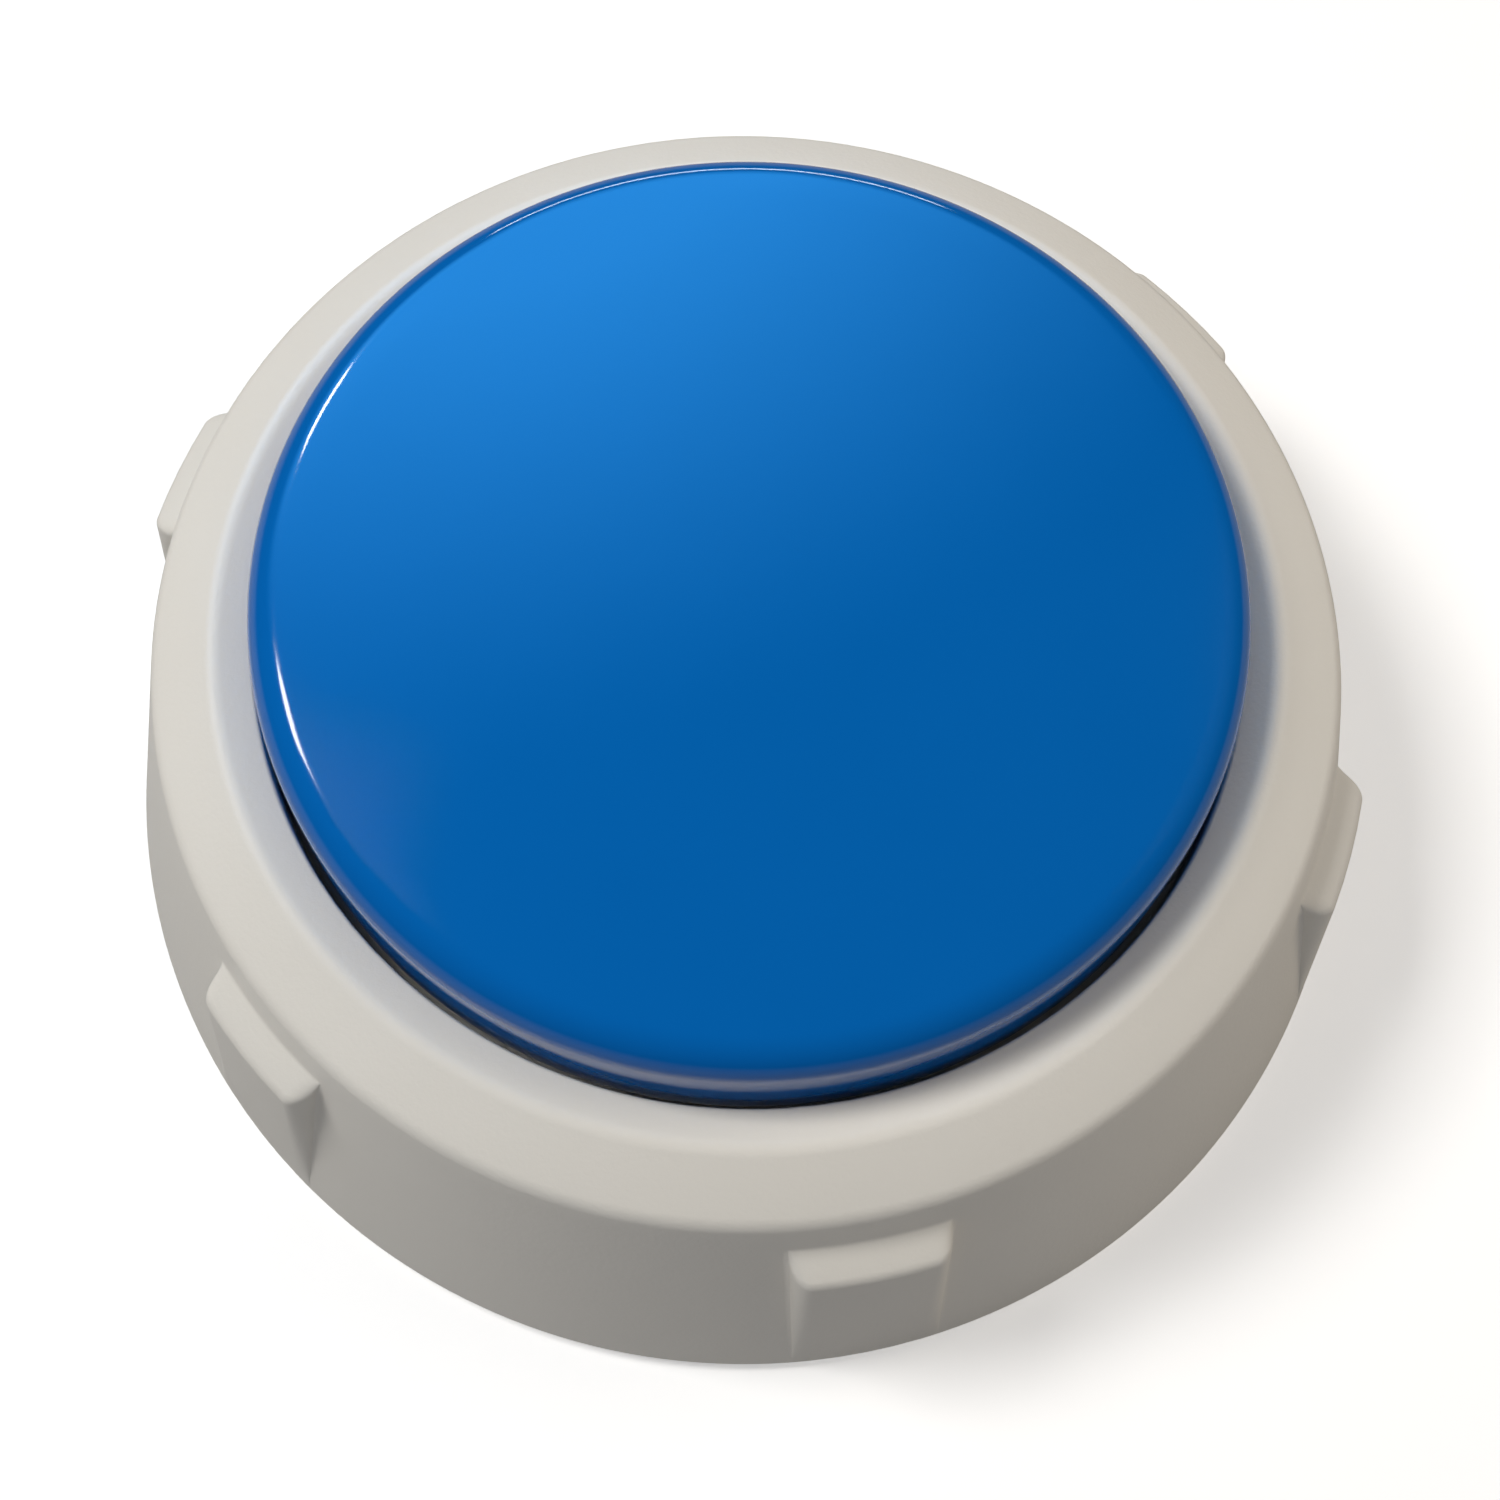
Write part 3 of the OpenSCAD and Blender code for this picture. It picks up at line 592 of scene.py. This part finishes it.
# ---------------------------------------------------------------- contacts
# Stamped, nickel-plated spring steel plates slid into the ends of the well.

nickel = metal("nickel_plate", nickel_bright, nickel_dull, 0.22, 0.4, 1000)
dress(["bridge_contact", "positive_contact", "negative_contact"], nickel)

# ---------------------------------------------------------------- circuit board
# A round glass-epoxy board with green solder mask over its copper tracks.

laminate = moulded_plastic(
    "green_laminate", (0.02, 0.16, 0.07), (0.012, 0.11, 0.045), 0.22, 0.34, 5200, 0.3, 0.00006)
tree = laminate.node_tree
shader = tree.nodes["Principled BSDF"]
tracks = node(tree, "ShaderNodeTexVoronoi", feature="DISTANCE_TO_EDGE", distance="EUCLIDEAN")
tracks.inputs["Scale"].default_value = 260
tracks.inputs["Randomness"].default_value = 0.75
tree.links.new(node(tree, "ShaderNodeTexCoord").outputs["Object"], tracks.inputs["Vector"])
on_track = spread(tree, tracks.outputs["Distance"], 0.06, 0.09, 1, 0)
bare_mask = shader.inputs["Base Color"].links[0].from_socket
tree.links.new(two_tone(tree, on_track, (0.05, 0.3, 0.12), bare_mask), shader.inputs["Base Color"])
dress(["circuit_board"], laminate)

# ---------------------------------------------------------------- switch
# A tact switch: black body, stamped steel cover and a round black plunger.

switch_black = moulded_plastic(
    "black_nylon", (0.03, 0.03, 0.032), (0.02, 0.02, 0.021), 0.35, 0.5, 4200, 0.6, 0.00005)
dress(["switch_body", "switch_plunger"], switch_black)
dress(["switch_cover"], nickel)

# ---------------------------------------------------------------- board parts
# The bonded sound chip under its blob of epoxy, an electrolytic capacitor in a
# dark blue sleeve and three chip resistors.

epoxy = moulded_plastic(
    "chip_epoxy", (0.02, 0.02, 0.02), (0.012, 0.012, 0.012), 0.12, 0.26, 900, 0.3, 0.0001)
dress(["sound_chip"], epoxy)
sleeve = moulded_plastic(
    "capacitor_sleeve", (0.03, 0.045, 0.14), (0.02, 0.03, 0.1), 0.25, 0.38, 3000, 0.2, 0.00004)
dress(["capacitor"], sleeve)
ceramic = moulded_plastic(
    "resistor_ceramic", (0.05, 0.05, 0.055), (0.03, 0.03, 0.033), 0.3, 0.5, 6000, 0.5, 0.00003)
dress(["resistors"], ceramic)

# ---------------------------------------------------------------- speaker
# A small paper-cone speaker, face down over the grille: pressed steel frame,
# black paper cone, ferrite magnet in its cup and a foam gasket.

dress(["speaker_frame"], zinc)
ferrite = moulded_plastic(
    "ferrite", (0.11, 0.11, 0.12), (0.07, 0.07, 0.075), 0.45, 0.65, 3600, 1, 0.00006)
dress(["speaker_magnet"], ferrite)

fibres = bpy.data.node_groups.new("felted_fibres", "ShaderNodeTree")
socket(fibres, "Fibre Scale", "NodeSocketFloat", 2200)
socket(fibres, "Height", "NodeSocketFloat", output=True)
socket(fibres, "Shade", "NodeSocketFloat", output=True)
group_in = node(fibres, "NodeGroupInput")
group_out = node(fibres, "NodeGroupOutput")
place = node(fibres, "ShaderNodeTexCoord").outputs["Object"]
strands = node(fibres, "ShaderNodeTexVoronoi", feature="F1")
fibres.links.new(place, strands.inputs["Vector"])
fibres.links.new(group_in.outputs["Fibre Scale"], strands.inputs["Scale"])
felt = noise(fibres, place, group_in.outputs["Fibre Scale"], 5, 0.7)
fibres.links.new(arithmetic(fibres, "ADD", strands.outputs["Distance"], felt), group_out.inputs["Height"])
fibres.links.new(spread(fibres, felt, 0.3, 0.7, 0, 1), group_out.inputs["Shade"])


def fibrous(name, light, dark, roughness, scale, depth):
    """Paper or open foam: matt, with fibres or cells that show in its surface."""
    material, tree, shader = finish_of(name)
    surface = node(tree, "ShaderNodeGroup", node_tree=fibres)
    surface.inputs["Fibre Scale"].default_value = scale
    tree.links.new(two_tone(tree, surface.outputs["Shade"], light, dark), shader.inputs["Base Color"])
    dull = spread(tree, surface.outputs["Shade"], 0, 1, roughness, roughness + 0.1)
    tree.links.new(dull, shader.inputs["Roughness"])
    raise_grain(tree, shader, surface.outputs["Height"], 0.7, depth)
    return material


paper = fibrous("cone_paper", (0.05, 0.048, 0.045), (0.025, 0.024, 0.023), 0.75, 2200, 0.00008)
foam = fibrous("gasket_foam", (0.06, 0.06, 0.062), (0.02, 0.02, 0.021), 0.85, 1500, 0.0002)
dress(["speaker_cone"], paper)
dress(["speaker_gasket"], foam)

# ---------------------------------------------------------------- leads
# Stranded wires in soft PVC: red and black from the cells, a grey pair to the
# speaker.

red_pvc = moulded_plastic(
    "red_pvc", (0.5, 0.02, 0.015), (0.4, 0.014, 0.01), 0.32, 0.45, 3000, 0.3, 0.00004)
black_pvc = moulded_plastic(
    "black_pvc", (0.025, 0.025, 0.026), (0.016, 0.016, 0.017), 0.32, 0.45, 3000, 0.3, 0.00004)
grey_pvc = moulded_plastic(
    "grey_pvc", (0.4, 0.36, 0.31), (0.32, 0.29, 0.25), 0.35, 0.5, 3000, 0.3, 0.00004)
dress(["positive_lead"], red_pvc)
dress(["negative_lead"], black_pvc)
dress(["speaker_leads"], grey_pvc)

# ---------------------------------------------------------------- button cap
# The big blue cap: a polished injection moulding in solid blue ABS, slightly
# domed, with a rounded edge, a skirt, a post for the switch and three snap legs.

cap_edge_r, dome_rise, cap_t = 2.6, 1.6, 1.8
shoulder_z = cap_top - dome_rise
cap_travel, skirt_gap = 3, 0.4
skirt_z = deck_top + cap_travel + skirt_gap
dome_edge = cap_r - cap_edge_r
dome_ball = (dome_edge ** 2 + dome_rise ** 2) / (2 * dome_rise)
switch_top = board_top + 3.5
plunger_up, post_gap = 0.8, 2.8
post_z = switch_top + plunger_up + post_gap


def dome_z(r, drop=0):
    """Height of the domed top at a radius, or of its underside."""
    return cap_top - drop - dome_ball + sqrt(dome_ball ** 2 - r * r)


dome_rows, underside_rows = 20, 8
inner_r = cap_r - cap_t
underside_edge = inner_r - 1.5
dome_line = []
for k in range(dome_rows):
    r = dome_edge * k / dome_rows
    dome_line.append((r, dome_z(r), 0))
underside = []
for k in range(underside_rows, -1, -1):
    r = underside_edge * k / underside_rows
    underside.append((r, dome_z(r, cap_t), 0))
side = [
    (cap_r - 0.1, dome_z(cap_r - 0.1), cap_edge_r), (cap_r, skirt_z, 0.3), (inner_r, skirt_z, 0.3),
    (inner_r, dome_z(inner_r, cap_t), 1)]
cap = build("cap_shell", [lathe(filleted(dome_line + side + underside, 12), 240)])

hook_gap, hook_out, hook_h = 0.15, 1.6, 1.8
hook_z = deck_z - hook_gap
hook_r = leg_t + hook_out
leg_root = shoulder_z - cap_t / 2
leg_outline = filleted([
    (0, leg_root, 0), (0, hook_z - hook_h, 0.2), (leg_t, hook_z - hook_h, 0.2), (hook_r, hook_z - 0.5, 0.15),
    (hook_r, hook_z, 0.15), (leg_t, hook_z, 0.1), (leg_t, leg_root, 0)], 3)
leg_bar = moved(prism(leg_outline, -leg_w / 2, leg_w / 2), Matrix.Rotation(radians(90), 4, "X"))
switch_post_r = 2.4
seat_z = shoulder_z - cap_t - 1.4
seat_root = dome_z(seat_r, cap_t) + 0.5
fixings = [rod(switch_post_r, post_z, dome_z(0, cap_t) + 0.6, 48, 0.3)]
fixings.append(turned_ring(filleted([
    (seat_r, seat_z, 0), (seat_r + seat_t, seat_z, 0.25), (seat_r + seat_t, seat_root, 0.01),
    (seat_r, seat_root, 0.01), (seat_r, seat_z + 0.1, 0)], 3), 64))
fixings += [turned(leg_bar, angle, (leg_r, 0, 0)) for angle in leg_angles]
cut_or_join(cap, fixings, "UNION")
smooth_shaded(cap, 30)
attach(cap, "button")
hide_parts("button_cap")

polished_blue = moulded_plastic(
    "polished_blue_abs", (0.0, 0.129, 0.47), (0.0, 0.123, 0.45), 0.07, 0.11, 1500, 0.05, 0.00004)
polished_blue.node_tree.nodes["Principled BSDF"].inputs["IOR"].default_value = 1.52
cap.data.materials.append(polished_blue)

# ---------------------------------------------------------------- return spring
# A coil of zinc-plated music wire with closed ends, held between the deck and
# the cap. In use it is pressed together as the cap goes down; the coil here is built at rest.

spring_low, spring_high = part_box("return_spring")
wire_r = 0.4
turns = 6
per_turn = 40
wire_sides = 12
wire_turns = [2 * pi * k / wire_sides for k in range(wire_sides)]
low_z = spring_low.z / MM + wire_r
high_z = spring_high.z / MM - wire_r
pitch = (high_z - low_z - 4 * wire_r) / (turns - 2)
coil = []
for i in range(turns * per_turn + 1):
    t = i / per_turn
    closed_low = min(t, 1) * 2 * wire_r
    closed_high = max(t - turns + 1, 0) * 2 * wire_r
    z = low_z + closed_low + closed_high + min(max(t - 1, 0), turns - 2) * pitch
    coil.append(Vector((spring_r * cos(2 * pi * t), spring_r * sin(2 * pi * t), z)))
coil_rings = []
for i, point in enumerate(coil):
    along = (coil[min(i + 1, len(coil) - 1)] - coil[max(i - 1, 0)]).normalized()
    outwards = Vector((point.x, point.y, 0)).normalized()
    outwards = (outwards - outwards.dot(along) * along).normalized()
    wire_up = along.cross(outwards)
    coil_rings.append([
        tuple(point + wire_r * (cos(turn) * outwards + sin(turn) * wire_up)) for turn in wire_turns])
spring = build("spring_coil", [skin(coil_rings)])
smooth_shaded(spring, 50)
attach(spring, "housing")
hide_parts("return_spring")
spring.data.materials.append(metal("music_wire", (0.6, 0.6, 0.6), (0.42, 0.42, 0.41), 0.2, 0.36, 2200))
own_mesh(spring)

# ---------------------------------------------------------------- floor and light
# A plain pale sheet, a soft key light high on the left and a warm fill on the
# right, a weak light under the sheet for the base, and three small lights and a
# glow behind that only show as reflections in the polished cap.


def soft_light(name, at, size, power, colour=(1, 1, 1)):
    """A rectangular soft light turned towards the buzzer; lengths in millimetres."""
    lamp = bpy.data.lights.new(name, "AREA")
    lamp.shape = "RECTANGLE"
    lamp.size, lamp.size_y = size[0] * MM, size[1] * MM
    lamp.energy = power
    lamp.color = colour
    placed = bpy.data.objects.new(name, lamp)
    placed.location = Vector(at) * MM
    aim = Vector((0, 0, cap_top)) * MM
    placed.rotation_euler = (aim - placed.location).to_track_quat("-Z", "Y").to_euler()
    bpy.context.scene.collection.objects.link(placed)
    return placed


# Three lights that light the shapes, and three that only show as reflections
key_light = soft_light("key_light", (-168, 62, 330), (110, 110), 0.81, (1, 0.985, 0.96))
warm_fill = soft_light("warm_fill", (335, 10, 290), (260, 260), 0.54, (1, 0.87, 0.7))
under_light = soft_light("under_light", (0, 0, -220), (160, 160), 0.22)
under_light.visible_camera = False
for lamp in (key_light, warm_fill, under_light):
    lamp.visible_glossy = False
near_glint = soft_light("near_glint", (-323, 178, 474), (90, 66), 0.5)
far_glint = soft_light("far_glint", (-223, 400, 389), (72, 50), 0.3)
rim_glint = soft_light("rim_glint", (90, 600, 190), (420, 30), 0.6, (0.8, 0.92, 1))
for lamp in (near_glint, far_glint, rim_glint):
    lamp.visible_diffuse = False

# The floor looks nearly white, but throws less light back up than it seems to. It
# is clear from below and lets light through, so that the underside can be seen
pale, tree, shader = finish_of("pale_sheet")
mottle = noise(tree, node(tree, "ShaderNodeTexCoord").outputs["Object"], 6, 2)
bounce = two_tone(tree, mottle, (0.44, 0.43, 0.42), (0.42, 0.41, 0.40))
seen = two_tone(tree, mottle, (0.95, 0.95, 0.95), (0.94, 0.94, 0.94))
ray = node(tree, "ShaderNodeLightPath")
to_eye = ray.outputs["Is Camera Ray"]
seen_glow = 0.28
tree.links.new(two_tone(tree, to_eye, seen, bounce), shader.inputs["Base Color"])
tree.links.new(arithmetic(tree, "MULTIPLY", to_eye, seen_glow), shader.inputs["Emission Strength"])
from_below = node(tree, "ShaderNodeNewGeometry").outputs["Backfacing"]
clear = arithmetic(tree, "MAXIMUM", from_below, ray.outputs["Is Shadow Ray"])
tree.links.new(arithmetic(tree, "SUBTRACT", 1, clear), shader.inputs["Alpha"])
shader.inputs["Emission Color"].default_value = (1, 1, 1, 1)
shader.inputs["Roughness"].default_value = 0.7
shader.inputs["Specular IOR Level"].default_value = 0
half = 3000
sheet = [(-half, -half, 0), (half, -half, 0), (half, half, 0), (-half, half, 0)]
floor = build("floor", [(sheet, [(0, 1, 2, 3)])])
floor.data.materials.append(pale)

# The room: an even fill, and in reflections a cool glow behind the buzzer that fades
# out towards the horizon
glow_heading = (-0.08, 0.87, 0.48)
glow_edge, glow_full = 0.7, 0.95
glow_low, glow_high = 0.4, 0.6
room = bpy.data.worlds.new("room")
room.use_nodes = True
tree = room.node_tree
background = tree.nodes["Background"]
heading = node(tree, "ShaderNodeVectorMath", operation="DOT_PRODUCT")
direction = node(tree, "ShaderNodeTexCoord").outputs["Generated"]
tree.links.new(direction, heading.inputs[0])
heading.inputs[1].default_value = glow_heading
height = node(tree, "ShaderNodeSeparateXYZ")
tree.links.new(direction, height.inputs[0])
above_horizon = spread(tree, height.outputs["Z"], glow_low, glow_high, 0, 1)
towards = spread(tree, heading.outputs["Value"], glow_edge, glow_full, 0, 1)
glow = arithmetic(tree, "MULTIPLY", arithmetic(tree, "POWER", towards, 1.8), above_horizon)
reflected = two_tone(tree, glow, (0.38, 2.7, 6.2), (0.02, 0.03, 0.04))
ray = node(tree, "ShaderNodeLightPath")
lit = two_tone(tree, ray.outputs["Is Glossy Ray"], reflected, (0.2, 0.21, 0.23))
seen = two_tone(tree, ray.outputs["Is Camera Ray"], (0.5, 0.51, 0.53), lit)
tree.links.new(seen, background.inputs["Color"])
background.inputs["Strength"].default_value = 1
bpy.context.scene.world = room
bpy.context.scene.view_settings.view_transform = "Standard"

# ---------------------------------------------------------------- boxes
# A helper that writes a box as two plain lists of numbers.


def plain(box):
    """A box as two plain lists of numbers."""
    return [[float(x) for x in corner] for corner in box]
